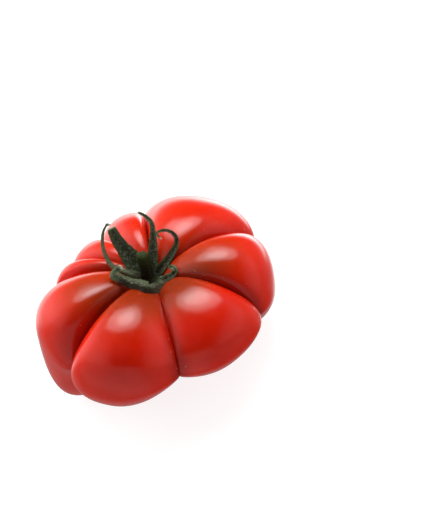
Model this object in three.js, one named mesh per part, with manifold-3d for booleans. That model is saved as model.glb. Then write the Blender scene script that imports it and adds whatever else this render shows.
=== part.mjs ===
// A ribbed beefsteak tomato resting on its own base, with a green calyx and a short cut stalk.
// Millimetres, +Z up. The fruit is described about its own middle, with the stem end along +Z,
// then leaned over a little and set down on the table at z = 0.
import * as THREE from 'three';
import { mergeVertices } from 'three/addons/utils/BufferGeometryUtils.js';
import Module from 'manifold-3d';

// Fruit: one row a lobe, anticlockwise seen from above, starting at the right side.
// groove is the compass angle in degrees at which the lobe starts, depth is how far that groove lies inside
// the smaller of the two lobes beside it, reach is how far the lobe swells out, crown and base are its
// heights above and below the middle, full is how square its underside is, square the same for its upper
// side, and skew moves its crest towards the next groove (below 0) or back.
const LOBES = [
  { groove: -33, depth: 4, reach: 47.5, crown: 30, base: 32, full: 2.5, square: 2.6, skew: -0.1 },
  { groove: 21, depth: 1, reach: 53, crown: 32, base: 32, full: 2.3, square: 2.1, skew: 0 },
  { groove: 85, depth: 0, reach: 46.5, crown: 29, base: 32, full: 2.3, square: 2.1, skew: 0.4 },
  { groove: 117, depth: 4, reach: 42, crown: 28, base: 32, full: 2.3, square: 2.1, skew: 0.15 },
  { groove: 143, depth: 4, reach: 43, crown: 28, base: 32, full: 2.4, square: 2.2, skew: 0 },
  { groove: 160, depth: 4, reach: 50, crown: 32, base: 40, full: 4.4, square: 2.8, skew: -0.2 },
  { groove: 215, depth: 4, reach: 54, crown: 30, base: 34.5, full: 1.8, square: 2.5, skew: 0.35 },
  { groove: 271, depth: 4, reach: 48, crown: 26, base: 33.5, full: 1.6, square: 2.1, skew: -0.2 },
];
const CORE_CROWN = 19;
const CORE_BASE = 20;
const CORE_SQUARE = 2.1;
const CORE_FULL = 1.5;
const LOBE_DIMPLE = 0.58;
const LOBE_DIMPLE_WIDTH = 36;
const CORE_DIMPLE = 0.44;
const CORE_DIMPLE_WIDTH = 28;
const STEM_FADE = 14;
const BLOSSOM_FADE = 20;
const LOBE_FLATNESS = 2.6;
const LOBE_SHOULDER = 0.66;
const STEM_LEAN_X = 0.05;
const STEM_LEAN_Y = -0.19;
const COLUMNS_PER_LOBE = 12;
const ROWS = 44;

// How the fruit stands: leaned towards +X, its middle this high over the table, and its box centred.
const LEAN = 9;
const MIDDLE_HEIGHT = 29;
const STAND_X = 2.35;
const STAND_Y = 0.14;

// Calyx: a low cushion in the stem pit, the stalk and six sepals.
const CUSHION_CENTRE = [-1.2, -4.4, 14.4];
const CUSHION_RADIUS = 5.6;
const CUSHION_HEIGHT = 3.2;
const STALK_FOOT = [-1.8, -4.4, 13];
const STALK_TOP = [-1.3, -3.6, 28.7];
const STALK_FOOT_RADIUS = 3.2;
const STALK_FLARE_RADIUS = 2.7;
const STALK_FLARE_SHARE = 0.2;
const STALK_WAIST_RADIUS = 2.1;
const STALK_WAIST_START = 0.45;
const STALK_WAIST_END = 0.7;
const STALK_HEAD_RADIUS = 2.5;
const STALK_HEAD_SHARE = 0.9;
const STALK_BROW_RADIUS = 2.1;
const STALK_BROW_SHARE = 0.98;
const STALK_CUT_RADIUS = 1.2;
const STALK_SIDES = 20;
const CUSHION_SIDES = 28;
const CUSHION_ROWS = 14;
const SKIN_GAP = 0.35;
const TIP_THICKNESS = 0.8;
const ROOT_WIDTH_SHARE = 0.75;
const WIDEST_AFTER = 1.6;
const TAPER_POWER = 2.4;
const FOLD_ROOT = [0.08, 0.25];
const FOLD_TIP = [0.65, 0.8];
const SEPAL_STEPS = 26;
const SEPAL_SIDES = 10;
const FINEST_EDGE = 0.01;

// The block below the table that presses the underside flat.
const TABLE_SPAN = 200;
const TABLE_DEPTH = 40;

// Each sepal: its middle line from the cushion to the tip, its widest width and its width at the tip, its
// thickness at the root, the direction its broad face looks and how steeply it is folded along its middle.
const SEPALS = [
  {
    path: [[-2.6, -4.2, 15], [-4.6, -4, 18], [-7.5, -4.2, 20.4], [-10.5, -1.6, 21.4], [-13.4, 0.3, 22.4],
      [-15, 4.4, 25], [-15, 8.4, 28], [-13.6, 11.3, 31.2], [-11.4, 12.3, 33.5], [-10.1, 11, 33.9]],
    width: 3.6, tip: 0.9, thickness: 1.3, face: [-0.8, -0.1, -0.42], fold: 0,
  },
  {
    path: [[-2.3, -3.6, 14], [-3, -1.8, 16.4], [-4.4, 0.3, 19.3], [-6.4, 2.9, 23.4], [-9.1, 6.2, 29.4],
      [-10.3, 9.4, 34.3]],
    width: 6.8, tip: 3, thickness: 1.5, face: [0.1, -0.7, 0.7], fold: 0,
  },
  {
    path: [[0.4, -7, 15.4], [1.3, -12, 18.6], [-0.9, -16.2, 21.4], [-3, -16.6, 23], [-5, -14.6, 23.2],
      [-7.2, -13, 23.3], [-9.4, -11.4, 23.8], [-11.6, -10.2, 24.9], [-13.7, -8.5, 25.7], [-12.4, -5.6, 25.1],
      [-9.8, -5.3, 26]],
    width: 6.4, tip: 2.4, thickness: 1.4, face: [0.1, -0.6, 0.8], fold: 0.65,
  },
  {
    path: [[-0.6, -3.2, 13.8], [0.8, -1, 14.8], [1.8, 1.2, 17.2], [2.8, 3.6, 20], [4.2, 6.4, 23.9],
      [5.5, 10.9, 28.6], [4.1, 14.2, 30.5], [1.2, 16.9, 31.9]],
    width: 4, tip: 0.9, thickness: 1.4, face: [0, -0.7, 0.7], fold: 0,
  },
  {
    path: [[0.2, -3.6, 14], [2.3, -2.2, 14.8], [4.9, -1.5, 16.8], [9.5, 0.4, 20.1], [12.6, 2.4, 22.8],
      [13.3, 3.9, 24.7], [12.6, 5.1, 26.6], [10.5, 6, 28.2], [8, 6.1, 28.7], [6.4, 5.1, 28.6],
      [7.7, 2.6, 27.4]],
    width: 3.6, tip: 0.9, thickness: 1.2, face: [-0.1, -0.7, 0.7], fold: 0,
  },
  {
    path: [[-0.4, -6, 14.8], [1.4, -8.2, 15.8], [3.7, -8.6, 16.8], [6.2, -8.9, 17.7], [8.3, -8.3, 18],
      [9.5, -7.9, 19.3], [8.8, -6.2, 19.9], [7.6, -5.5, 19.1]],
    width: 3.2, tip: 1.8, thickness: 1.3, face: [0.2, -0.6, 0.8], fold: 0,
  },
];

const FRUIT_COLOUR = 0xc8140a;
const CALYX_COLOUR = 0x2f3a20;

const degrees = (value) => (value * Math.PI) / 180;
const wasm = await Module();
wasm.setup();

// Closed shapes pass to the solid joiner as shared corners and triangles, and come back the same way.
function solid(geometry) {
  const bare = geometry.clone();
  bare.deleteAttribute('normal');
  bare.deleteAttribute('uv');
  const shared = mergeVertices(bare, 1e-5);
  const mesh = new wasm.Mesh({
    numProp: 3,
    vertProperties: new Float32Array(shared.attributes.position.array),
    triVerts: new Uint32Array(shared.index.array),
  });
  mesh.merge();
  return new wasm.Manifold(mesh);
}

function shape(body) {
  const mesh = body.getMesh();
  const geometry = new THREE.BufferGeometry();
  geometry.setAttribute('position', new THREE.BufferAttribute(new Float32Array(mesh.vertProperties), 3));
  geometry.setIndex(new THREE.BufferAttribute(new Uint32Array(mesh.triVerts), 1));
  geometry.computeVertexNormals();
  return geometry;
}

// Distance from the middle to an oval of the given reach and height, measured at an angle from the stem.
function oval(phi, reach, above, below, square, full) {
  const upper = Math.cos(phi) >= 0;
  const height = upper ? above : below;
  const power = upper ? square : full;
  const across = (Math.abs(Math.sin(phi)) / reach) ** power;
  const along = (Math.abs(Math.cos(phi)) / height) ** power;
  return (across + along) ** (-1 / power);
}

function dimple(phi, share, width) {
  return 1 - share * Math.exp(-((phi / degrees(width)) ** 2));
}

// Reach of the groove in which a lobe starts: a little inside the smaller of its two neighbours.
function grooveReach(index) {
  const count = LOBES.length;
  const here = LOBES[index % count];
  const before = LOBES[(index + count - 1) % count];
  return Math.min(here.reach, before.reach) - here.depth;
}

// A point of the skin: phi from the stem, u across lobe number index from -1 to 1.
function skinPoint(phi, index, u, grow) {
  const count = LOBES.length;
  const lobe = LOBES[index];
  const nextGroove = index + 1 < count ? LOBES[index + 1].groove : LOBES[0].groove + 360;
  const share = (u + 1) / 2;
  const theta = degrees(lobe.groove + (nextGroove - lobe.groove) * share);
  const crest = u + lobe.skew * (1 - u * u);
  const bulge = (1 - Math.abs(crest) ** LOBE_FLATNESS) ** LOBE_SHOULDER;
  const coreReach = grooveReach(index) * (1 - share) + grooveReach(index + 1) * share;
  const outer = oval(phi, lobe.reach, lobe.crown, lobe.base, lobe.square, lobe.full)
    * dimple(phi, LOBE_DIMPLE, LOBE_DIMPLE_WIDTH);
  const core = oval(phi, coreReach, CORE_CROWN, CORE_BASE, CORE_SQUARE, CORE_FULL)
    * dimple(phi, CORE_DIMPLE, CORE_DIMPLE_WIDTH);
  const fadeStem = 1 - Math.exp(-((phi / degrees(STEM_FADE)) ** 2));
  const fadeBlossom = 1 - Math.exp(-(((Math.PI - phi) / degrees(BLOSSOM_FADE)) ** 2));
  const radius = core + bulge * fadeStem * fadeBlossom * (outer - core) + grow;
  const z = radius * Math.cos(phi);
  const x = radius * Math.sin(phi) * Math.cos(theta) + STEM_LEAN_X * z;
  const y = radius * Math.sin(phi) * Math.sin(theta) + STEM_LEAN_Y * z;
  return [x, y, z];
}

function fruitGeometry(grow) {
  const around = LOBES.length * COLUMNS_PER_LOBE;
  const corners = [];
  const faces = [];
  corners.push(...skinPoint(0, 0, 0, grow));
  for (let row = 1; row < ROWS; row += 1) {
    const phi = (Math.PI * row) / ROWS;
    for (let index = 0; index < LOBES.length; index += 1) {
      for (let column = 0; column < COLUMNS_PER_LOBE; column += 1) {
        const u = -Math.cos((Math.PI * column) / COLUMNS_PER_LOBE);
        corners.push(...skinPoint(phi, index, u, grow));
      }
    }
  }
  corners.push(...skinPoint(Math.PI, 0, 0, grow));
  const last = 1 + (ROWS - 1) * around;
  for (let column = 0; column < around; column += 1) {
    const next = (column + 1) % around;
    faces.push(0, 1 + column, 1 + next);
    for (let row = 0; row < ROWS - 2; row += 1) {
      const upper = 1 + row * around;
      const lower = upper + around;
      faces.push(upper + column, lower + column, lower + next);
      faces.push(upper + column, lower + next, upper + next);
    }
    const bottom = 1 + (ROWS - 2) * around;
    faces.push(bottom + column, last, bottom + next);
  }
  const geometry = new THREE.BufferGeometry();
  geometry.setAttribute('position', new THREE.BufferAttribute(new Float32Array(corners), 3));
  geometry.setIndex(faces);
  return geometry;
}

// A blade of oval section along a path, wide in the middle and narrow at the tip. A folded one drops away to
// both sides of its middle line, except near its root and its tip.
function bladeGeometry(sepal) {
  const points = sepal.path.map((point) => new THREE.Vector3(...point));
  const curve = new THREE.CatmullRomCurve3(points, false, 'centripetal');
  const face = new THREE.Vector3(...sepal.face).normalize();
  const corners = [];
  const faces = [];
  for (let step = 0; step <= SEPAL_STEPS; step += 1) {
    const t = step / SEPAL_STEPS;
    const centre = curve.getPointAt(t);
    const along = curve.getTangentAt(t);
    const side = new THREE.Vector3().crossVectors(along, face).normalize();
    const normal = new THREE.Vector3().crossVectors(side, along).normalize();
    const swell = ROOT_WIDTH_SHARE
      + (1 - ROOT_WIDTH_SHARE) * Math.sin(Math.PI * Math.min(1, t * WIDEST_AFTER));
    const taper = 1 - t ** TAPER_POWER;
    const halfWidth = (sepal.tip + (sepal.width * swell - sepal.tip) * taper) / 2;
    const halfThickness = (TIP_THICKNESS + (sepal.thickness - TIP_THICKNESS) * taper) / 2;
    const fold = sepal.fold * THREE.MathUtils.smoothstep(t, ...FOLD_ROOT)
      * (1 - THREE.MathUtils.smoothstep(t, ...FOLD_TIP));
    for (let corner = 0; corner < SEPAL_SIDES; corner += 1) {
      const angle = (2 * Math.PI * corner) / SEPAL_SIDES;
      const spread = halfWidth * Math.cos(angle);
      const point = centre.clone()
        .addScaledVector(side, spread)
        .addScaledVector(normal, halfThickness * Math.sin(angle) - fold * Math.abs(spread));
      corners.push(point.x, point.y, point.z);
    }
  }
  for (let step = 0; step < SEPAL_STEPS; step += 1) {
    for (let corner = 0; corner < SEPAL_SIDES; corner += 1) {
      const next = (corner + 1) % SEPAL_SIDES;
      const lower = step * SEPAL_SIDES;
      const upper = lower + SEPAL_SIDES;
      faces.push(lower + corner, upper + corner, upper + next);
      faces.push(lower + corner, upper + next, lower + next);
    }
  }
  const root = corners.length / 3;
  const start = curve.getPointAt(0);
  const end = curve.getPointAt(1);
  corners.push(start.x, start.y, start.z, end.x, end.y, end.z);
  const tipRing = SEPAL_STEPS * SEPAL_SIDES;
  for (let corner = 0; corner < SEPAL_SIDES; corner += 1) {
    const next = (corner + 1) % SEPAL_SIDES;
    faces.push(root, corner, next);
    faces.push(root + 1, tipRing + next, tipRing + corner);
  }
  const geometry = new THREE.BufferGeometry();
  geometry.setAttribute('position', new THREE.BufferAttribute(new Float32Array(corners), 3));
  geometry.setIndex(faces);
  return geometry;
}

// The stalk is turned round a straight line: spread foot, slim waist, slightly swollen cut top.
function stalkGeometry() {
  const foot = new THREE.Vector3(...STALK_FOOT);
  const top = new THREE.Vector3(...STALK_TOP);
  const length = foot.distanceTo(top);
  const profile = [
    new THREE.Vector2(0, 0),
    new THREE.Vector2(STALK_FOOT_RADIUS, 0),
    new THREE.Vector2(STALK_FLARE_RADIUS, length * STALK_FLARE_SHARE),
    new THREE.Vector2(STALK_WAIST_RADIUS, length * STALK_WAIST_START),
    new THREE.Vector2(STALK_WAIST_RADIUS, length * STALK_WAIST_END),
    new THREE.Vector2(STALK_HEAD_RADIUS, length * STALK_HEAD_SHARE),
    new THREE.Vector2(STALK_BROW_RADIUS, length * STALK_BROW_SHARE),
    new THREE.Vector2(STALK_CUT_RADIUS, length),
    new THREE.Vector2(0, length),
  ];
  const geometry = new THREE.LatheGeometry(profile, STALK_SIDES);
  const turn = new THREE.Quaternion().setFromUnitVectors(
    new THREE.Vector3(0, 1, 0),
    top.clone().sub(foot).normalize(),
  );
  geometry.applyQuaternion(turn);
  geometry.translate(foot.x, foot.y, foot.z);
  return geometry;
}

function cushionGeometry() {
  const geometry = new THREE.SphereGeometry(1, CUSHION_SIDES, CUSHION_ROWS);
  geometry.rotateX(Math.PI / 2);
  geometry.scale(CUSHION_RADIUS, CUSHION_RADIUS, CUSHION_HEIGHT);
  geometry.translate(...CUSHION_CENTRE);
  return geometry;
}

// Setting down: lean, lift and centre.
const stand = new THREE.Matrix4()
  .makeTranslation(STAND_X, STAND_Y, MIDDLE_HEIGHT)
  .multiply(new THREE.Matrix4().makeRotationY(degrees(LEAN)));

// The fruit is pressed flat where it meets the table.
const table = new THREE.BoxGeometry(TABLE_SPAN, TABLE_SPAN, TABLE_DEPTH).translate(0, 0, -TABLE_DEPTH / 2);
const fruitBody = solid(fruitGeometry(0).applyMatrix4(stand)).subtract(solid(table));

// The calyx grows as one: cushion, stalk and sepals joined, its underside following the skin of the pit.
const growths = [cushionGeometry(), stalkGeometry(), ...SEPALS.map(bladeGeometry)];
const grown = growths.map((geometry) => solid(geometry.applyMatrix4(stand)));
const calyxBody = grown
  .reduce((joined, piece) => joined.add(piece))
  .subtract(solid(fruitGeometry(SKIN_GAP).applyMatrix4(stand)))
  .simplify(FINEST_EDGE);

const fruit = new THREE.Mesh(
  shape(fruitBody),
  new THREE.MeshStandardMaterial({ name: 'skin', color: FRUIT_COLOUR, roughness: 0.25 }),
);
fruit.name = 'fruit';

const calyx = new THREE.Mesh(
  shape(calyxBody),
  new THREE.MeshStandardMaterial({ name: 'green', color: CALYX_COLOUR, roughness: 0.7 }),
);
calyx.name = 'calyx';

const part = new THREE.Group();
part.name = 'tomato';
part.add(fruit, calyx);
export default part;
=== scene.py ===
import math
from collections import namedtuple

import bpy
from mathutils import Matrix, Vector, noise


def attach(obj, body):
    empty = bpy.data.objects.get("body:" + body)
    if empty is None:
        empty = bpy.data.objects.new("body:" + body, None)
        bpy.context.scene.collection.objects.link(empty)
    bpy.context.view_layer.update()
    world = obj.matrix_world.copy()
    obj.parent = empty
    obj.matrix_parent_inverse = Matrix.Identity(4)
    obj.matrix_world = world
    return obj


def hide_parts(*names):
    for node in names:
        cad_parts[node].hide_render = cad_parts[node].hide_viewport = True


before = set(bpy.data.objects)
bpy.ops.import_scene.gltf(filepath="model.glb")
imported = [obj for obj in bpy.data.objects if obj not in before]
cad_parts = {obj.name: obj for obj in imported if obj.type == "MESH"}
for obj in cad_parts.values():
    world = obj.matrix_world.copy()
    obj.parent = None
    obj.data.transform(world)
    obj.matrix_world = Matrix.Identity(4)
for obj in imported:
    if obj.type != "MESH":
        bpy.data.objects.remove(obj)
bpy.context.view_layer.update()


# The fruit: a ribbed beefsteak tomato, one grown body of swollen lobes with grooves between them.
# Firm flesh under a thin waxy red skin; the stem end is sunk into a pit, and the undersides of the
# lobes are pressed flat where it stands on the table.

MM = 0.001
Lobe = namedtuple("Lobe", "groove depth reach crown base fullness square skew")
LOBES = (
    Lobe(groove=-33, depth=4, reach=47.5, crown=30, base=32, fullness=2.5, square=2.6, skew=-0.1),
    Lobe(groove=21, depth=1, reach=53, crown=32, base=32, fullness=2.3, square=2.1, skew=0),
    Lobe(groove=85, depth=0, reach=46.5, crown=29, base=32, fullness=2.3, square=2.1, skew=0.4),
    Lobe(groove=117, depth=4, reach=42, crown=28, base=32, fullness=2.3, square=2.1, skew=0.15),
    Lobe(groove=143, depth=4, reach=43, crown=28, base=32, fullness=2.4, square=2.2, skew=0),
    Lobe(groove=160, depth=4, reach=50, crown=32, base=40, fullness=4.4, square=2.8, skew=-0.2),
    Lobe(groove=215, depth=4, reach=54, crown=30, base=34.5, fullness=1.8, square=2.5, skew=0.35),
    Lobe(groove=271, depth=4, reach=48, crown=26, base=33.5, fullness=1.6, square=2.1, skew=-0.2),
)
CORE_CROWN = 19
CORE_BASE = 20
CORE_SQUARE = 2.1
CORE_FULLNESS = 1.5
LOBE_DIMPLE = 0.58
LOBE_DIMPLE_WIDTH = math.radians(36)
CORE_DIMPLE = 0.44
CORE_DIMPLE_WIDTH = math.radians(28)
STEM_FADE = math.radians(14)
BLOSSOM_FADE = math.radians(20)
LOBE_FLATNESS = 2.6
LOBE_SHOULDER = 0.66
STEM_LEAN = (0.05, -0.19)
LEAN = math.radians(9)
STAND = Vector((2.35, 0.14, 29))
STRIP_COLUMNS = 45
STRIP_ROWS = 161
GROOVE_SEAM = 0.0001
UNEVENNESS = 0.7
HOLLOW_SIZE = 22.0
HOLLOW_SEED = 4.0


class Wire:
    """A socket of a node tree that can be reckoned with: each operator adds a Math node."""

    def __init__(self, tree, socket=None):
        self.tree = tree
        self.socket = socket

    def add(self, kind, settings=None, sockets=None, out=0):
        """One node of this type: its settings are set first, then its sockets' values or links."""
        node = self.tree.nodes.new(kind)
        for name, value in (settings or {}).items():
            setattr(node, name, value)
        for name, value in (sockets or {}).items():
            several = value if isinstance(value, list) else [value]
            for one in several:
                if isinstance(one, Wire):
                    self.tree.links.new(one.socket, node.inputs[name])
                else:
                    node.inputs[name].default_value = one
        return Wire(self.tree, node.outputs[out]) if len(node.outputs) else node

    def out(self, name):
        """Another output of the same node."""
        return Wire(self.tree, self.socket.node.outputs[name])

    def math(self, operation, *values):
        return self.add("ShaderNodeMath", {"operation": operation}, dict(enumerate(values)))

    def vector(self, operation, *values, out=0):
        return self.add("ShaderNodeVectorMath", {"operation": operation}, dict(enumerate(values)), out)

    def scaled(self, factor):
        return self.add("ShaderNodeVectorMath", {"operation": "SCALE"}, {0: self, "Scale": factor})

    def smooth(self, low, high):
        """0 below low and 1 above high, with a soft step between; low may be the larger."""
        settings = {"interpolation_type": "SMOOTHSTEP"}
        if low < high:
            return self.add("ShaderNodeMapRange", settings, {0: self, 1: low, 2: high})
        return 1 - self.add("ShaderNodeMapRange", settings, {0: self, 1: high, 2: low})

    def tint(self, under, over):
        """The colour under where this mask is 0, over where it is 1."""
        return self.add("ShaderNodeMix", {"data_type": "RGBA"}, {0: self, 6: under, 7: over}, out=2)

    def __add__(self, other):
        return self.math("ADD", self, other)

    def __radd__(self, other):
        return self.math("ADD", other, self)

    def __sub__(self, other):
        return self.math("SUBTRACT", self, other)

    def __rsub__(self, other):
        return self.math("SUBTRACT", other, self)

    def __mul__(self, other):
        return self.math("MULTIPLY", self, other)

    def __rmul__(self, other):
        return self.math("MULTIPLY", other, self)

    def __truediv__(self, other):
        return self.math("DIVIDE", self, other)

    def __rtruediv__(self, other):
        return self.math("DIVIDE", other, self)

    def __pow__(self, other):
        return self.math("POWER", self, other)

    def __abs__(self):
        return self.math("ABSOLUTE", self)


def inputs_of(tree, kinds):
    """Named inputs for a geometry tree and one mesh output; gives the input node's first wire."""
    for name, kind in kinds.items():
        tree.interface.new_socket(name, in_out="INPUT", socket_type="NodeSocket" + kind)
    tree.interface.new_socket("Mesh", in_out="OUTPUT", socket_type="NodeSocketGeometry")
    return Wire(tree).add("NodeGroupInput")


def bell(angle, width):
    """1 at an angle of nothing, falling away smoothly over the width."""
    share = angle / width
    power = share * share * -1
    return power.math("EXPONENT", power)


def oval(sine, cosine, reach, above, below, round_above, round_below):
    """Distance from the middle to an oval, with its own height and roundness above and below."""
    upper = cosine.math("GREATER_THAN", cosine, 0)
    height = below + upper * (above - below)
    power = round_below + upper * (round_above - round_below)
    across = (abs(sine) / reach) ** power
    along = (abs(cosine) / height) ** power
    return (across + along) ** (-1 / power)


def lobe_tree():
    """One lobe: a grid from groove to groove and from stem to blossom end, swollen by the rule."""
    tree = bpy.data.node_groups.new("lobe", "GeometryNodeTree")
    names = ("Groove angle", "Next groove angle", "Groove reach", "Next groove reach")
    names += ("Reach", "Crown", "Base", "Fullness", "Squareness", "Skew")
    given = inputs_of(tree, {name: "Float" for name in names})
    grid = given.add(
        "GeometryNodeMeshGrid",
        None,
        {"Size X": 2.0, "Size Y": 1.0, "Vertices X": STRIP_COLUMNS, "Vertices Y": STRIP_ROWS},
    )
    place = given.add("ShaderNodeSeparateXYZ", None, {0: given.add("GeometryNodeInputPosition")})
    across = given.math("SINE", place * (math.pi / 2))
    polar = (0.5 - place.out("Y")) * math.pi
    share = (across + 1) / 2
    first = given.out("Groove angle")
    around = first + (given.out("Next groove angle") - first) * share
    crest = across + given.out("Skew") * (1 - across * across)
    bulge = (1 - abs(crest) ** LOBE_FLATNESS) ** LOBE_SHOULDER
    first_reach = given.out("Groove reach")
    core_reach = first_reach + (given.out("Next groove reach") - first_reach) * share
    sine = given.math("SINE", polar)
    cosine = given.math("COSINE", polar)
    outer = oval(
        sine,
        cosine,
        given.out("Reach"),
        given.out("Crown"),
        given.out("Base"),
        given.out("Squareness"),
        given.out("Fullness"),
    )
    outer = outer * (1 - LOBE_DIMPLE * bell(polar, LOBE_DIMPLE_WIDTH))
    core = oval(sine, cosine, core_reach, CORE_CROWN, CORE_BASE, CORE_SQUARE, CORE_FULLNESS)
    core = core * (1 - CORE_DIMPLE * bell(polar, CORE_DIMPLE_WIDTH))
    fade = (1 - bell(polar, STEM_FADE)) * (1 - bell(math.pi - polar, BLOSSOM_FADE))
    radius = core + bulge * fade * (outer - core)
    z = radius * cosine
    x = radius * sine * given.math("COSINE", around) + z * STEM_LEAN[0]
    y = radius * sine * given.math("SINE", around) + z * STEM_LEAN[1]
    swollen = given.add("ShaderNodeCombineXYZ", None, {0: x, 1: y, 2: z})
    marked = grid
    for label, value in {"groove": abs(across), "down": polar / math.pi}.items():
        marked = given.add(
            "GeometryNodeStoreNamedAttribute",
            {"data_type": "FLOAT", "domain": "POINT"},
            {"Geometry": marked, "Name": label, "Value": value},
        )
    shaped = given.add("GeometryNodeSetPosition", None, {"Geometry": marked, "Position": swollen})
    given.add("NodeGroupOutput", None, {"Mesh": shaped})
    return tree


def skin_tree(lobe):
    """The whole skin: the lobes side by side, sewn at the grooves, made uneven, leaned and set down."""
    tree = bpy.data.node_groups.new("skin of the fruit", "GeometryNodeTree")
    given = inputs_of(
        tree,
        {"Lean": "Float", "Unevenness": "Float", "Hollow size": "Float", "Seed": "Float", "Skin": "Material"},
    )
    count = len(LOBES)
    groove_reach = [min(LOBES[i].reach, LOBES[i - 1].reach) - LOBES[i].depth for i in range(count)]
    strips = []
    for index, one in enumerate(LOBES):
        following = LOBES[(index + 1) % count].groove + (360 if index == count - 1 else 0)
        strips.append(
            given.add(
                "GeometryNodeGroup",
                {"node_tree": lobe},
                {
                    "Groove angle": math.radians(one.groove),
                    "Next groove angle": math.radians(following),
                    "Groove reach": groove_reach[index],
                    "Next groove reach": groove_reach[(index + 1) % count],
                    "Reach": one.reach,
                    "Crown": one.crown,
                    "Base": one.base,
                    "Fullness": one.fullness,
                    "Squareness": one.square,
                    "Skew": one.skew,
                },
            )
        )
    joined = given.add("GeometryNodeJoinGeometry", None, {0: strips})
    sewn = given.add("GeometryNodeMergeByDistance", None, {"Geometry": joined, "Distance": GROOVE_SEAM})
    position = given.add("GeometryNodeInputPosition")
    hollows = given.add(
        "ShaderNodeTexNoise",
        {"noise_dimensions": "4D"},
        {"Vector": position, "W": given.out("Seed"), "Scale": 1 / given.out("Hollow size"), "Detail": 1.0},
    )
    normal = given.add("GeometryNodeInputNormal")
    uneven = given.add(
        "GeometryNodeSetPosition",
        None,
        {"Geometry": sewn, "Offset": normal.scaled((hollows - 0.5) * given.out("Unevenness"))},
    )
    place = given.add("ShaderNodeSeparateXYZ", None, {0: position})
    lean_sine = given.math("SINE", given.out("Lean"))
    lean_cosine = given.math("COSINE", given.out("Lean"))
    x = place * lean_cosine + place.out("Z") * lean_sine + STAND.x
    z = place.out("Z") * lean_cosine - place * lean_sine + STAND.z
    stood = given.add(
        "ShaderNodeCombineXYZ", None, {0: x, 1: place.out("Y") + STAND.y, 2: z.math("MAXIMUM", z, 0)}
    )
    set_down = given.add("GeometryNodeSetPosition", None, {"Geometry": uneven, "Position": stood.scaled(MM)})
    smooth = given.add("GeometryNodeSetShadeSmooth", None, {0: set_down})
    whole = given.add("GeometryNodeRealizeInstances", None, {"Geometry": smooth})
    dressed = given.add("GeometryNodeSetMaterial", None, {"Geometry": whole, "Material": given.out("Skin")})
    given.add("NodeGroupOutput", None, {"Mesh": dressed})
    return tree


def grown(name, base, tree, values):
    """The plain mesh that a geometry tree makes from a base mesh, as an object of its own."""
    seedling = bpy.data.objects.new(name + "_seedling", base)
    bpy.context.collection.objects.link(seedling)
    modifier = seedling.modifiers.new("growth", "NODES")
    modifier.node_group = tree
    for label, value in values.items():
        modifier[tree.interface.items_tree[label].identifier] = value
    evaluated = seedling.evaluated_get(bpy.context.evaluated_depsgraph_get())
    piece = bpy.data.objects.new(name, bpy.data.meshes.new_from_object(evaluated))
    piece.data.name = name
    bpy.data.objects.remove(seedling)
    bpy.context.collection.objects.link(piece)
    return piece


RIPE_RED = (0.50, 0.009, 0.001, 1)
RIPE_RED_LIGHTER = (0.54, 0.013, 0.002, 1)
SHOULDER_ORANGE_AND_SHADE = (0.22, 0.024, 0.002, 1)
CALYX_SHADOW_BROWN = (0.12, 0.013, 0.001, 1)
GROOVE_SHADE_RED = (0.24, 0.003, 0.001, 1)
CREASE_SHADE_RED = (0.14, 0.003, 0.003, 1)
PORE_PINK = (0.70, 0.16, 0.09, 1)
STREAK_ORANGE = (0.56, 0.03, 0.01, 1)

# Places on the skin: down runs from 0 at the stem to 1 at the blossom end, groove from 0 on a lobe's
# crest to 1 in the groove beside it, and across and deep are metres along X and Y.
# The shoulder, calyx, valley and crease spans below place painted shade, strongest at the front and right.
SHOULDER_AND_SHADE_DOWN = (0.37, 0.25)
CALYX_SHADOW_DOWN = (0.3, 0.2)
CALYX_SHADOW_DEEP = (-0.006, -0.016)
FRONT_SHADE_DEEP = (0.015, -0.01)
RIGHT_SHADE_ACROSS = (-0.03, -0.005)
FAINTEST_SHADE = 0.3
GROOVE_SHADE_SPAN = (0.72, 0.99)
CREASE_SHADE_SPAN = (0.975, 0.999)
PORE_GROOVE = (0.62, 0.9)
PORE_DOWN = (0.34, 0.16)


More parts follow.
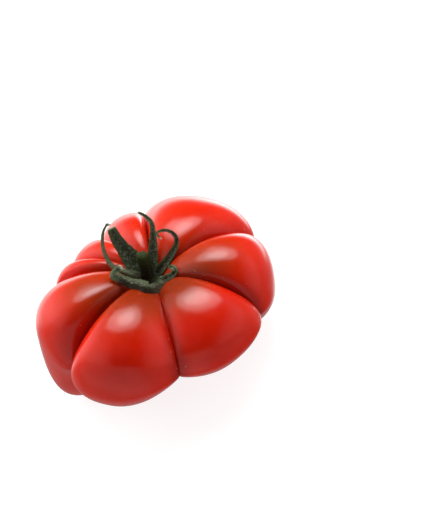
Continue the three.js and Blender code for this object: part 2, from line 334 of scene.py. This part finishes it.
def skin_material():
    """Ripe red under a waxy gloss: orange shoulders, painted shade at the front shoulders, under the calyx
    and in the valleys and creases, pale pores, faint streaks.
    """
    material = bpy.data.materials.new("waxy red skin")
    material.use_nodes = True
    shader = material.node_tree.nodes["Principled BSDF"]
    pen = Wire(material.node_tree)
    spot = pen.add("ShaderNodeTexCoord", None, None, out="Object")
    groove = pen.add("ShaderNodeAttribute", {"attribute_name": "groove"}, None, out="Fac")
    down = pen.add("ShaderNodeAttribute", {"attribute_name": "down"}, None, out="Fac")
    cloud = pen.add("ShaderNodeTexNoise", None, {"Vector": spot, "Scale": 45.0, "Detail": 3.0})
    mottle = pen.add("ShaderNodeTexNoise", None, {"Vector": spot, "Scale": 400.0, "Detail": 3.0})
    ripe = cloud.smooth(0.35, 0.65).tint(RIPE_RED, RIPE_RED_LIGHTER)
    across = pen.add("ShaderNodeSeparateXYZ", None, {0: spot})
    deep = across.out("Y")
    # Painted shade is weighted by front: full at the front, faintest at the back.
    front = FAINTEST_SHADE + (1 - FAINTEST_SHADE) * deep.smooth(*FRONT_SHADE_DEEP)
    # The shoulders' orange is their own colour, deepened by painted shade towards the front.
    shoulder_and_shade = down.smooth(*SHOULDER_AND_SHADE_DOWN) * (0.7 + 0.3 * cloud.smooth(0.3, 0.7)) * front
    warm_and_shaded = (shoulder_and_shade * 0.9).tint(ripe, SHOULDER_ORANGE_AND_SHADE)
    # A painted shadow of the calyx: a darker brown band just below the stem pit, at the front.
    calyx_shadow = down.smooth(*CALYX_SHADOW_DOWN) * deep.smooth(*CALYX_SHADOW_DEEP)
    calyx_shadowed = (calyx_shadow * 0.6).tint(warm_and_shaded, CALYX_SHADOW_BROWN)
    # Painted shade in the grooves: full at the front right, faint at the back and left.
    right_front_shade = (FAINTEST_SHADE + (1 - FAINTEST_SHADE) * across.smooth(*RIGHT_SHADE_ACROSS)) * front
    groove_shade = groove.smooth(*GROOVE_SHADE_SPAN) * down.smooth(0.1, 0.3) * right_front_shade
    shaded = (groove_shade * 0.65).tint(calyx_shadowed, GROOVE_SHADE_RED)
    # Painted shade in the narrow creases at the bottoms of the grooves.
    crease_shade = groove.smooth(*CREASE_SHADE_SPAN) * down.smooth(0.02, 0.1) * right_front_shade
    crease_shaded = (crease_shade * 0.5).tint(shaded, CREASE_SHADE_RED)
    pores = pen.add("ShaderNodeTexVoronoi", None, {"Vector": spot, "Scale": 420.0, "Randomness": 1.0})
    few = pen.add("ShaderNodeTexNoise", None, {"Vector": spot, "Scale": 260.0, "Detail": 0.0})
    band = groove.smooth(*PORE_GROOVE) + down.smooth(*PORE_DOWN) * 0.6
    fleck = pores.smooth(0.17, 0.09) * few.smooth(0.5, 0.58) * band.math("MINIMUM", band, 1)
    flecked = (fleck * 0.45).tint(crease_shaded, PORE_PINK)
    streaked = (mottle.smooth(0.45, 0.75) * 0.12).tint(flecked, STREAK_ORANGE)
    wire = material.node_tree.links
    wire.new(streaked.socket, shader.inputs["Base Color"])
    wire.new((0.16 + mottle * 0.08).socket, shader.inputs["Roughness"])
    bump = pen.add(
        "ShaderNodeBump", None, {"Strength": 0.12, "Distance": 0.0002, "Height": mottle + fleck * -0.6}
    )
    wire.new(bump.socket, shader.inputs["Normal"])
    shader.inputs["IOR"].default_value = 1.45
    shader.inputs["Subsurface Weight"].default_value = 0.06
    shader.inputs["Subsurface Radius"].default_value = (1.0, 0.12, 0.05)
    shader.inputs["Subsurface Scale"].default_value = 0.004
    return material


fruit = grown(
    "tomato_fruit",
    bpy.data.meshes.new("seed"),
    skin_tree(lobe_tree()),
    {
        "Lean": LEAN,
        "Unevenness": UNEVENNESS,
        "Hollow size": HOLLOW_SIZE,
        "Seed": HOLLOW_SEED,
        "Skin": skin_material(),
    },
)
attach(fruit, "root")
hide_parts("fruit")


# The calyx: six green sepals round a short cut stalk, grown from a low cushion in the stem pit.
# Each is a thin leathery blade with a sunken midrib and a wrinkled face; all have dried and curled,
# each its own way, and their tips are pale and frayed.

Sepal = namedtuple("Sepal", "name path width tip thickness face fold cup wrinkle point paleness")
SEPALS = (
    Sepal(
        name="sepal_left",
        path=((-2.6, -4.2, 15), (-4.6, -4, 18), (-7.5, -4.2, 20.4), (-10.5, -1.6, 21.4), (-13.4, 0.3, 22.4),
              (-15, 4.4, 25), (-15, 8.4, 28), (-13.6, 11.3, 31.2), (-11.4, 12.3, 33.5), (-10.1, 11, 33.9)),
        width=4.2, tip=1.1, thickness=1.9, face=(-0.8, -0.1, -0.42), fold=0.0, cup=0.15, wrinkle=0.12,
        point=1.6, paleness=0.35,
    ),
    Sepal(
        name="sepal_back_left",
        path=((-2.3, -3.6, 14), (-3, -1.8, 16.4), (-4.4, 0.3, 19.3), (-6.4, 2.9, 23.4), (-9.1, 6.2, 29.4),
              (-10.3, 9.4, 34.3)),
        width=8.4, tip=3.4, thickness=1.1, face=(0.1, -0.7, 0.7), fold=0.0, cup=0.16, wrinkle=0.45, point=2.6,
        paleness=0.1,
    ),
    Sepal(
        name="sepal_front_left",
        path=((0.4, -7, 15.4), (1.3, -12, 18.6), (-0.9, -16.2, 21.4), (-3, -16.6, 23), (-5, -14.6, 23.2),
              (-7.2, -13, 23.3), (-9.4, -11.4, 23.8), (-11.6, -10.2, 24.9), (-13.7, -8.5, 25.7),
              (-12.4, -5.6, 25.1), (-9.8, -5.3, 26)),
        width=6.6, tip=2.4, thickness=0.9, face=(0.1, -0.6, 0.8), fold=0.65, cup=0.0, wrinkle=0.25, point=2.2,
        paleness=0.25,
    ),
    Sepal(
        name="sepal_back",
        path=((-0.6, -3.2, 13.8), (0.8, -1, 14.8), (1.8, 1.2, 17.2), (2.8, 3.6, 20), (4.2, 6.4, 23.9),
              (5.5, 10.9, 28.6), (4.1, 14.2, 30.5), (1.2, 16.9, 31.9)),
        width=4.4, tip=0.8, thickness=1.0, face=(0, -0.7, 0.7), fold=0.0, cup=0.45, wrinkle=0.2, point=2.0,
        paleness=0.15,
    ),
    Sepal(
        name="sepal_right",
        path=((0.2, -3.6, 14), (2.3, -2.2, 14.8), (4.9, -1.5, 16.8), (9.5, 0.4, 20.1), (12.6, 2.4, 22.8),
              (13.3, 3.9, 24.7), (12.6, 5.1, 26.6), (10.5, 6, 28.2), (8, 6.1, 28.7), (6.4, 5.1, 28.6),
              (7.7, 2.6, 27.4)),
        width=4.2, tip=0.7, thickness=0.9, face=(-0.1, -0.7, 0.7), fold=0.0, cup=0.45, wrinkle=0.2, point=1.0,
        paleness=0.2,
    ),
    Sepal(
        name="sepal_front_right",
        path=((-0.4, -6, 14.8), (1.4, -8.2, 15.8), (3.7, -8.6, 16.8), (6.2, -8.9, 17.7), (8.3, -8.3, 18),
              (9.5, -7.9, 19.3), (8.8, -6.2, 19.9), (7.6, -5.5, 19.1)),
        width=3.4, tip=1.8, thickness=1.1, face=(0.2, -0.6, 0.8), fold=0.0, cup=0.15, wrinkle=0.35, point=5,
        paleness=0.5,
    ),
)
BLADE_COLUMNS = 33
BLADE_ROWS = 101
BLADE_SEAM = 0.002
PATH_STEPS = 24
ROOT_WIDTH = 0.75
SWELL_RATE = 1.6 * math.pi
ROOT_CLOSING = 40
TIP_CLOSING = 60
HALF_TIP_THICKNESS = 0.3
RIB_WIDTH = 0.32
RIB_DEPTH_ABOVE = 0.28
RIB_DEPTH_BELOW = 0.12
FOLD_ROOT = (0.08, 0.25)
FOLD_TIP = (0.8, 0.65)
FRAY = 0.2
RIPPLES_ALONG = 22
MIDDLE_WRINKLE = 0.4
HAIRS_PER_SQUARE_METRE = 1.2e6
HAIR_LENGTH = 0.8
HAIR_RADIUS = 0.035
HAIR_TILT = 0.7
HAIR_TURN = 6.0
HAIR_SHORTEST = 0.4
HAIR_SEED = 7


def stand_up(point):
    """A point beside the fruit's middle, in millimetres, carried to its place on the table, in metres."""
    return (Matrix.Rotation(LEAN, 3, "Y") @ Vector(point) + STAND) * MM


def path_mesh(name, points):
    """The points of a path as a bare string of edges."""
    mesh = bpy.data.meshes.new(name + "_path")
    mesh.from_pydata([stand_up(point) for point in points], [(i, i + 1) for i in range(len(points) - 1)], [])
    return mesh


def blade_tree():
    """A leathery blade along a path: flat section, sunken midrib, cupped or folded, wrinkled, with hairs."""
    tree = bpy.data.node_groups.new("sepal blade", "GeometryNodeTree")
    given = inputs_of(
        tree,
        {
            "Path": "Geometry",
            "Width": "Float",
            "Thickness": "Float",
            "Face": "Vector",
            "Fold": "Float",
            "Cup": "Float",
            "Wrinkle": "Float",
            "Point": "Float",
            "Tip": "Float",
            "Paleness": "Float",
            "Seed": "Float",
            "Green": "Material",
            "Hair": "Material",
        },
    )
    curve = given.add("GeometryNodeMeshToCurve", None, {0: given})
    curve = given.add("GeometryNodeCurveSplineType", {"spline_type": "CATMULL_ROM"}, {0: curve})
    curve = given.add("GeometryNodeSetSplineResolution", None, {"Geometry": curve, "Resolution": PATH_STEPS})
    grid = given.add(
        "GeometryNodeMeshGrid",
        None,
        {"Size X": 2.0, "Size Y": 1.0, "Vertices X": BLADE_COLUMNS, "Vertices Y": BLADE_ROWS},
    )
    place = given.add("ShaderNodeSeparateXYZ", None, {0: given.add("GeometryNodeInputPosition")})
    turn = place * math.pi
    along = place.out("Y") + 0.5
    sample = given.add(
        "GeometryNodeSampleCurve",
        {"mode": "FACTOR", "use_all_curves": True},
        {"Curves": curve, "Factor": along},
        out="Position",
    )
    tangent = sample.out("Tangent")
    side = tangent.vector("NORMALIZE", tangent.vector("CROSS_PRODUCT", tangent, given.out("Face")))
    upward = side.vector("CROSS_PRODUCT", side, tangent)
    taper = 1 - along ** given.out("Point")
    swelling = given.math("SINE", given.math("MINIMUM", along * SWELL_RATE, math.pi))
    swell = ROOT_WIDTH + (1 - ROOT_WIDTH) * swelling
    root_closing = given.math("SQRT", given.math("MINIMUM", along * ROOT_CLOSING, 1))
    tip_closing = given.math("SQRT", given.math("MINIMUM", (1 - along) * TIP_CLOSING, 1))
    closing = root_closing * tip_closing
    half_tip = given.out("Tip") / 2
    half_width = (half_tip + (given.out("Width") * swell / 2 - half_tip) * taper) * closing
    tapering = (given.out("Thickness") / 2 - HALF_TIP_THICKNESS) * taper
    half_thickness = (HALF_TIP_THICKNESS + tapering) * closing
    across = given.math("COSINE", turn)
    rise = given.math("SINE", turn)
    fray = given.add(
        "ShaderNodeTexNoise",
        {"noise_dimensions": "4D"},
        {"Vector": sample, "W": given.out("Seed"), "Scale": 900.0, "Detail": 2.0},
    )
    surface = given.add(
        "ShaderNodeCombineXYZ", None, {0: across * half_width, 1: along * RIPPLES_ALONG, 2: rise}
    )
    ripple = given.add(
        "ShaderNodeTexNoise",
        {"noise_dimensions": "4D"},
        {"Vector": surface, "W": given.out("Seed"), "Scale": 0.9, "Detail": 2.0},
    )
    rib = bell(across * half_width, RIB_WIDTH) * taper * closing
    upper = given.math("GREATER_THAN", rise, 0)
    fold = given.out("Fold") * along.smooth(*FOLD_ROOT) * along.smooth(*FOLD_TIP)
    rib_depth = RIB_DEPTH_ABOVE * upper + RIB_DEPTH_BELOW * (1 - upper)
    flat_rise = given.math("SIGN", rise) * given.math("SQRT", abs(rise))
    lift = half_thickness * flat_rise - rib * rib_depth * (1 - fold)
    lift = lift + across * across * half_width * given.out("Cup") - abs(across) * half_width * fold
    wrinkling = MIDDLE_WRINKLE + abs(across) * (1 - MIDDLE_WRINKLE)
    lift = lift + (ripple - 0.5) * given.out("Wrinkle") * 2 * closing * wrinkling
    spread = across * half_width * (1 + (fray - 0.5) * FRAY)
    edge = side.vector("ADD", side.scaled(spread * MM), upward.scaled(lift * MM))
    marked = grid
    marks = {"along": along, "across": across, "fold": fold, "paleness": given.out("Paleness")}
    for label, value in marks.items():
        marked = given.add(
            "GeometryNodeStoreNamedAttribute",
            {"data_type": "FLOAT", "domain": "POINT"},
            {"Geometry": marked, "Name": label, "Value": value},
        )
    shaped = given.add(
        "GeometryNodeSetPosition", None, {"Geometry": marked, "Position": edge.vector("ADD", edge, sample)}
    )
    closed = given.add("GeometryNodeMergeByDistance", None, {"Geometry": shaped, "Distance": BLADE_SEAM * MM})
    sewn = given.add("GeometryNodeFlipFaces", None, {"Mesh": closed})
    smooth = given.add("GeometryNodeSetShadeSmooth", None, {0: sewn})
    dressed = given.add("GeometryNodeSetMaterial", None, {"Geometry": smooth, "Material": given.out("Green")})
    roots = given.add(
        "GeometryNodeDistributePointsOnFaces",
        {"distribute_method": "RANDOM"},
        {"Mesh": sewn, "Density": HAIRS_PER_SQUARE_METRE, "Seed": HAIR_SEED},
    )
    hair = given.add(
        "GeometryNodeMeshCone",
        {"fill_type": "NGON"},
        {"Vertices": 3, "Radius Top": 0.0, "Radius Bottom": HAIR_RADIUS * MM, "Depth": HAIR_LENGTH * MM},
    )
    tilt = given.add(
        "FunctionNodeRandomValue",
        {"data_type": "FLOAT_VECTOR"},
        {0: (-HAIR_TILT, -HAIR_TILT, 0.0), 1: (HAIR_TILT, HAIR_TILT, HAIR_TURN)},
    )
    turned = given.add(
        "FunctionNodeRotateRotation",
        {"rotation_space": "LOCAL"},
        {0: roots.out("Rotation"), 1: given.add("FunctionNodeEulerToRotation", None, {0: tilt})},
    )
    length = given.add("FunctionNodeRandomValue", {"data_type": "FLOAT"}, {2: HAIR_SHORTEST, 3: 1.0}, out=1)
    hairs = given.add(
        "GeometryNodeInstanceOnPoints",
        None,
        {"Points": roots, "Instance": hair, "Rotation": turned, "Scale": length},
    )
    downy = given.add("GeometryNodeSetMaterial", None, {"Geometry": hairs, "Material": given.out("Hair")})
    both = given.add("GeometryNodeJoinGeometry", None, {0: [dressed, downy]})
    whole = given.add("GeometryNodeRealizeInstances", None, {"Geometry": both})
    given.add("NodeGroupOutput", None, {"Mesh": whole})
    return tree


DEEP_GREEN = (0.018, 0.024, 0.008, 1)
DEEP_GREEN_LIGHTER = (0.036, 0.046, 0.015, 1)
PALE_GREEN = (0.10, 0.12, 0.055, 1)
RIM_GREEN = (0.085, 0.105, 0.055, 1)
CHANNEL_SHADE_GREEN = (0.010, 0.014, 0.005, 1)
CRINKLE_HIGHLIGHT_GREY = (0.17, 0.18, 0.13, 1)
GRAIN_GREEN = (0.080, 0.092, 0.052, 1)
FOLD_BROWN = (0.026, 0.021, 0.012, 1)
DRY_TIP = (0.42, 0.37, 0.27, 1)
HAIR_GREEN = (0.10, 0.11, 0.06, 1)
HAIR_PALE = (0.34, 0.32, 0.24, 1)


def leaf_material():
    """Dark green leathery tissue: pale rims, painted highlights on the wrinkles, painted shade in the
    midrib's channel, a brown folded face, dry tips.
    """
    material = bpy.data.materials.new("dark green calyx")
    material.use_nodes = True
    shader = material.node_tree.nodes["Principled BSDF"]
    pen = Wire(material.node_tree)
    spot = pen.add("ShaderNodeTexCoord", None, None, out="Object")
    along = pen.add("ShaderNodeAttribute", {"attribute_name": "along"}, None, out="Fac")
    across = pen.add("ShaderNodeAttribute", {"attribute_name": "across"}, None, out="Fac")
    fold = pen.add("ShaderNodeAttribute", {"attribute_name": "fold"}, None, out="Fac")
    paleness = pen.add("ShaderNodeAttribute", {"attribute_name": "paleness"}, None, out="Fac")
    grain = pen.add("ShaderNodeTexNoise", None, {"Vector": spot, "Scale": 900.0, "Detail": 4.0})
    patch = pen.add("ShaderNodeTexNoise", None, {"Vector": spot, "Scale": 250.0, "Detail": 2.0})
    crinkle = pen.add("ShaderNodeTexNoise", None, {"Vector": spot, "Scale": 1300.0, "Detail": 1.0})
    deep = patch.smooth(0.35, 0.7).tint(DEEP_GREEN, DEEP_GREEN_LIGHTER)
    light = (paleness * (0.4 + patch + along.smooth(0.5, 0.8))).tint(deep, PALE_GREEN)
    # Painted shade in the sunken channel along the midrib.
    channel_shade = abs(across).smooth(0.6, 0.15)
    rim = abs(across).smooth(0.75, 0.97)
    rimmed = (rim * 0.4).tint(light, RIM_GREEN)
    ribbed = (channel_shade * 0.75).tint(rimmed, CHANNEL_SHADE_GREEN)
    # Pale grey flecks on the wrinkles in the blade's middle are painted highlights.
    middle = along.smooth(0.1, 0.3) * along.smooth(0.85, 0.6) * abs(across).smooth(0.95, 0.6)
    flecked = (crinkle.smooth(0.54, 0.66) * middle * 0.6).tint(ribbed, CRINKLE_HIGHLIGHT_GREY)
    speckled = (grain.smooth(0.5, 0.72) * 0.4).tint(flecked, GRAIN_GREEN)
    # The folded-down front face of a sepal is made dark brown.
    front = fold.smooth(0.05, 0.3) * across.smooth(-0.02, -0.25)
    darker_fold = (front * 0.9).tint(speckled, FOLD_BROWN)
    dried = along.smooth(0.95, 0.995)
    tipped = (dried * 0.9).tint(darker_fold, DRY_TIP)
    wire = material.node_tree.links
    wire.new(tipped.socket, shader.inputs["Base Color"])
    wire.new((0.6 + grain * 0.2).socket, shader.inputs["Roughness"])
    bump = pen.add(
        "ShaderNodeBump", None, {"Strength": 0.8, "Distance": 0.0006, "Height": grain * 0.6 + crinkle + patch}
    )
    wire.new(bump.socket, shader.inputs["Normal"])
    shader.inputs["Specular IOR Level"].default_value = 0.25
    return material


def hair_material():
    """Fine downy hairs, greenish in some patches and pale in others."""
    material = bpy.data.materials.new("pale hairs")
    material.use_nodes = True
    shader = material.node_tree.nodes["Principled BSDF"]
    pen = Wire(material.node_tree)
    spot = pen.add("ShaderNodeTexCoord", None, None, out="Object")
    shade = pen.add("ShaderNodeTexNoise", None, {"Vector": spot, "Scale": 300.0, "Detail": 1.0})
    mixed = shade.smooth(0.4, 0.6).tint(HAIR_GREEN, HAIR_PALE)
    material.node_tree.links.new(mixed.socket, shader.inputs["Base Color"])
    shader.inputs["Roughness"].default_value = 0.6
    return material


leaf_green = leaf_material()
leaf_down = hair_material()
blade = blade_tree()
for number, one in enumerate(SEPALS):
    face = Matrix.Rotation(LEAN, 3, "Y") @ Vector(one.face).normalized()
    sepal = grown(
        one.name,
        path_mesh(one.name, one.path),
        blade,
        {
            "Width": one.width,
            "Thickness": one.thickness,
            "Face": face,
            "Fold": one.fold,
            "Cup": one.cup,
            "Wrinkle": one.wrinkle,
            "Point": float(one.point),
            "Tip": one.tip,
            "Paleness": one.paleness,
            "Seed": float(number),
            "Green": leaf_green,
            "Hair": leaf_down,
        },
    )
    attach(sepal, "root")
    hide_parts("calyx")


# The stalk: the short green stub that held the fruit to the vine, cut off and dried over.
# It flares at the foot into the cushion that carries the sepals; ribbed sides, a rounded olive top.

STALK_FOOT = Vector((-1.8, -4.4, 12))
STALK_TOP = Vector((-1.3, -3.6, 28.7))
STALK_BEND = Vector((0.35, -0.2, 0))
STALK_PROFILE = (
    (0.0, 6.2), (0.16, 5.6), (0.22, 4.6), (0.27, 3.4), (0.33, 2.75), (0.48, 2.45), (0.65, 2.3), (0.8, 2.3),
    (0.9, 2.4), (0.95, 2.2), (0.98, 1.7), (1.0, 0.8),
)
STALK_RIBS = 5
STALK_RIB_DEPTH = 0.06
STALK_TWIST = 1.5
STALK_UNEVENNESS = 0.07
STALK_LUMP_SIZE = 1.25
STALK_LUMP_REACH = 3
STALK_RINGS = 60
STALK_SIDES = 40
STALK_DARK_AND_SHADE = (0.007, 0.009, 0.004, 1)
STALK_GRAIN = (0.024, 0.029, 0.013, 1)
STALK_OLIVE = (0.018, 0.027, 0.005, 1)


def profile_radius(share):
    """Radius of the stalk at a share of its height, in straight stretches between the profile's points."""
    for (low, low_radius), (high, high_radius) in zip(STALK_PROFILE, STALK_PROFILE[1:]):
        if share <= high:
            part = (share - low) / (high - low)
            return low_radius + (high_radius - low_radius) * part
    return STALK_PROFILE[-1][1]


def stalk_mesh():
    """Rings from foot to top, ribbed and a little uneven, closed at both ends."""
    corners = []
    faces = []
    shares = []
    for ring in range(STALK_RINGS + 1):
        share = ring / STALK_RINGS
        middle = STALK_FOOT.lerp(STALK_TOP, share) + STALK_BEND * math.sin(math.pi * share)
        for side in range(STALK_SIDES):
            turn = 2 * math.pi * side / STALK_SIDES
            out = Vector((math.cos(turn), math.sin(turn), 0))
            rib = 1 + STALK_RIB_DEPTH * math.cos(STALK_RIBS * turn + STALK_TWIST * share)
            lump = noise.noise((middle + out * STALK_LUMP_REACH) / STALK_LUMP_SIZE)
            rough = 1 + STALK_UNEVENNESS * lump
            corners.append(stand_up(middle + out * profile_radius(share) * rib * rough))
            shares.append(share)
    for ring in range(STALK_RINGS):
        for side in range(STALK_SIDES):
            following = (side + 1) % STALK_SIDES
            low = ring * STALK_SIDES
            high = low + STALK_SIDES
            faces.append((low + side, low + following, high + following, high + side))
    faces.append(tuple(reversed(range(STALK_SIDES))))
    faces.append(tuple(STALK_RINGS * STALK_SIDES + side for side in range(STALK_SIDES)))
    mesh = bpy.data.meshes.new("stalk")
    mesh.from_pydata(corners, [], faces)
    mesh.attributes.new("along", "FLOAT", "POINT").data.foreach_set("value", shares)
    mesh.shade_smooth()
    return mesh


def stalk_material():
    """Near-black green sides, their darkness partly painted shade, with fine pale grain, turning olive on the
    cut top.
    """
    material = bpy.data.materials.new("stalk green")
    material.use_nodes = True
    shader = material.node_tree.nodes["Principled BSDF"]
    pen = Wire(material.node_tree)
    spot = pen.add("ShaderNodeTexCoord", None, None, out="Object")
    along = pen.add("ShaderNodeAttribute", {"attribute_name": "along"}, None, out="Fac")
    grain = pen.add("ShaderNodeTexNoise", None, {"Vector": spot, "Scale": 1100.0, "Detail": 4.0})
    dark = grain.smooth(0.4, 0.75).tint(STALK_DARK_AND_SHADE, STALK_GRAIN)
    # Lighter olive towards the top and near black lower down: partly the cut top's own olive, partly painted
    # shade down in the pit.
    olive_top_over_shade = along.smooth(0.6, 0.95).tint(dark, STALK_OLIVE)
    wire = material.node_tree.links
    wire.new(olive_top_over_shade.socket, shader.inputs["Base Color"])
    wire.new((0.55 + grain * 0.2).socket, shader.inputs["Roughness"])
    bump = pen.add("ShaderNodeBump", None, {"Strength": 0.5, "Distance": 0.0003, "Height": grain})
    wire.new(bump.socket, shader.inputs["Normal"])
    shader.inputs["Specular IOR Level"].default_value = 0.12
    return material


stalk = bpy.data.objects.new("stalk", stalk_mesh())
stalk.data.materials.append(stalk_material())
bpy.context.collection.objects.link(stalk)
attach(stalk, "root")
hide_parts("calyx")


# The camera stands where the photograph was taken from, seen from the fruit: high in front, tipped to
# one side, because the fruit in the picture leans and this one stands on its own base.

CAMERA_AZIMUTH = math.radians(8.6)
CAMERA_ELEVATION = math.radians(43.3)
CAMERA_ROLL = math.radians(-27.4)
CAMERA_DISTANCE = 700
PIXELS_PER_MM = 2.51
PICTURE = (435, 520)
FRUIT_IN_PICTURE = (157, 298)
SENSOR_WIDTH = 36

towards = Vector(
    (
        math.sin(CAMERA_AZIMUTH) * math.cos(CAMERA_ELEVATION),
        -math.cos(CAMERA_AZIMUTH) * math.cos(CAMERA_ELEVATION),
        math.sin(CAMERA_ELEVATION),
    )
)
level_right = Vector((0, 0, 1)).cross(towards).normalized()
level_up = towards.cross(level_right)
right = level_right * math.cos(CAMERA_ROLL) + level_up * math.sin(CAMERA_ROLL)
up = level_up * math.cos(CAMERA_ROLL) - level_right * math.sin(CAMERA_ROLL)
aside = (PICTURE[0] / 2 - FRUIT_IN_PICTURE[0]) / PIXELS_PER_MM
above = (FRUIT_IN_PICTURE[1] - PICTURE[1] / 2) / PIXELS_PER_MM
eye = STAND + towards * CAMERA_DISTANCE
look = (STAND + right * aside + up * above - eye).normalized()
picture_right = look.cross(up).normalized()
picture_up = picture_right.cross(look)
camera_data = bpy.data.cameras.new("camera")
camera_data.sensor_fit = "HORIZONTAL"
camera_data.sensor_width = SENSOR_WIDTH
camera_data.lens = PIXELS_PER_MM * CAMERA_DISTANCE / PICTURE[0] * SENSOR_WIDTH
camera = bpy.data.objects.new("camera", camera_data)
camera.matrix_world = Matrix.Translation(eye * MM) @ Matrix(
    (picture_right, picture_up, -look)
).transposed().to_4x4()
bpy.context.collection.objects.link(camera)
bpy.context.scene.camera = camera


# The table: a plain white sweep that fills the view, bright enough to read as paper white.
# It doesn't show in the fruit's gloss, which mirrors the room that the light's section makes.

TABLE_SIZE = 8.0
TABLE_GLOW = 0.86
TABLE_WHITE = (0.22, 0.22, 0.22, 1)
table_mesh = bpy.data.meshes.new("table")
half = TABLE_SIZE / 2
table_mesh.from_pydata(
    [(-half, -half, 0), (half, -half, 0), (half, half, 0), (-half, half, 0)], [], [(0, 1, 2, 3)]
)
table = bpy.data.objects.new("table", table_mesh)
table_white = bpy.data.materials.new("white table")
table_white.use_nodes = True
paper = table_white.node_tree.nodes["Principled BSDF"]
paper.inputs["Base Color"].default_value = TABLE_WHITE
paper.inputs["Roughness"].default_value = 0.9
paper.inputs["Emission Color"].default_value = (1, 1, 1, 1)
paper.inputs["Emission Strength"].default_value = TABLE_GLOW
table_mesh.materials.append(table_white)
table.visible_glossy = False
bpy.context.collection.objects.link(table)


# The light: a soft box with a brighter core hangs over the fruit, and broad dull sheets at both sides and
# in front fill the shadows without showing in its gloss. The gloss mirrors a dim room with pale walls over
# a white table top, which is level with the photograph's own table.

centre = STAND * MM
Lamp = namedtuple("Lamp", "name aim away width height radiance mirrored")
LAMPS = (
    Lamp("soft_box", (-0.12, 0.94, 0.34), 0.64, 0.72, 0.54, 3.8, True),
    Lamp("soft_box_core", (-0.12, 0.94, 0.34), 0.62, 0.36, 0.28, 5.0, True),
    Lamp("left_sheet", (-0.75, 0.55, -0.35), 1.0, 1.5, 1.3, 4.7, False),
    Lamp("right_sheet", (0.7, 0.75, 0.0), 1.0, 1.3, 1.1, 3.0, False),
    Lamp("front_sheet", (-0.3, 0.2, 0.85), 1.2, 0.9, 0.9, 0.7, False),
)
for lamp in LAMPS:
    aim = (right * lamp.aim[0] + up * lamp.aim[1] + towards * lamp.aim[2]).normalized()
    side = (right - aim * right.dot(aim)).normalized()
    light = bpy.data.lights.new(lamp.name, "AREA")
    light.shape = "ELLIPSE"
    light.size = lamp.width
    light.size_y = lamp.height
    light.energy = lamp.radiance * math.pi * math.pi * lamp.width * lamp.height / 4
    hung = bpy.data.objects.new(lamp.name, light)
    hung.matrix_world = Matrix.Translation(centre + aim * lamp.away) @ Matrix(
        (side, aim.cross(side), aim)
    ).transposed().to_4x4()
    hung.visible_glossy = lamp.mirrored
    bpy.context.collection.objects.link(hung)

PHOTO_ELEVATION = math.radians(24)
ROOM = 0.03
ROOM_BACK = 0.3
RIGHT_CARD = 0.5
LEFT_WALL = 0.9
BACK_WALL = 4.5
TABLE_NEAR = 0.5
TABLE_FAR = 1.4
TABLE_RIGHT = 0.3
TABLE_UNDER = 0.2
# The room's walls and table top: how far a direction points along an axis, from -1 to 1, says what it meets.
photo_up = up * math.cos(PHOTO_ELEVATION) + towards * math.sin(PHOTO_ELEVATION)
world = bpy.data.worlds.new("dim room")
world.use_nodes = True
air = Wire(world.node_tree)
outward = air.add("ShaderNodeTexCoord", None, None, out="Generated")
height = outward.vector("DOT_PRODUCT", outward, tuple(photo_up), out="Value")
upward = outward.vector("DOT_PRODUCT", outward, tuple(up), out="Value")
leftward = outward.vector("DOT_PRODUCT", outward, tuple(-right), out="Value")
backward = outward.vector("DOT_PRODUCT", outward, tuple(-towards), out="Value")
back_wall = backward.smooth(0.6, 0.85) * height.smooth(-0.12, 0.0) * height.smooth(0.45, 0.2)
back_wall = back_wall * (0.4 + 0.6 * leftward.smooth(0.1, -0.25))
right_card = leftward.smooth(-0.4, -0.8) * backward.smooth(0.1, -0.3)
room = ROOM + leftward.smooth(0.4, 0.95) * LEFT_WALL + back_wall * BACK_WALL
room = room + right_card * RIGHT_CARD + backward.smooth(-0.2, 0.5) * height.smooth(0.6, 0.2) * ROOM_BACK
table_top = TABLE_NEAR + backward.smooth(0.2, 0.9) * (TABLE_FAR - TABLE_NEAR)
table_top = table_top * (1 - leftward.smooth(-0.2, -0.6) * (1 - TABLE_RIGHT))
under = backward.smooth(0.0, 0.5) * upward.smooth(0.05, -0.15)
table_top = table_top * (1 - under * (1 - TABLE_UNDER))
glow = room + (table_top - room) * height.smooth(0.02, -0.06)
backdrop = world.node_tree.nodes["Background"]
backdrop.inputs["Color"].default_value = (1, 1, 1, 1)
world.node_tree.links.new(glow.socket, backdrop.inputs["Strength"])
bpy.context.scene.world = world
bpy.context.scene.view_settings.view_transform = "Standard"
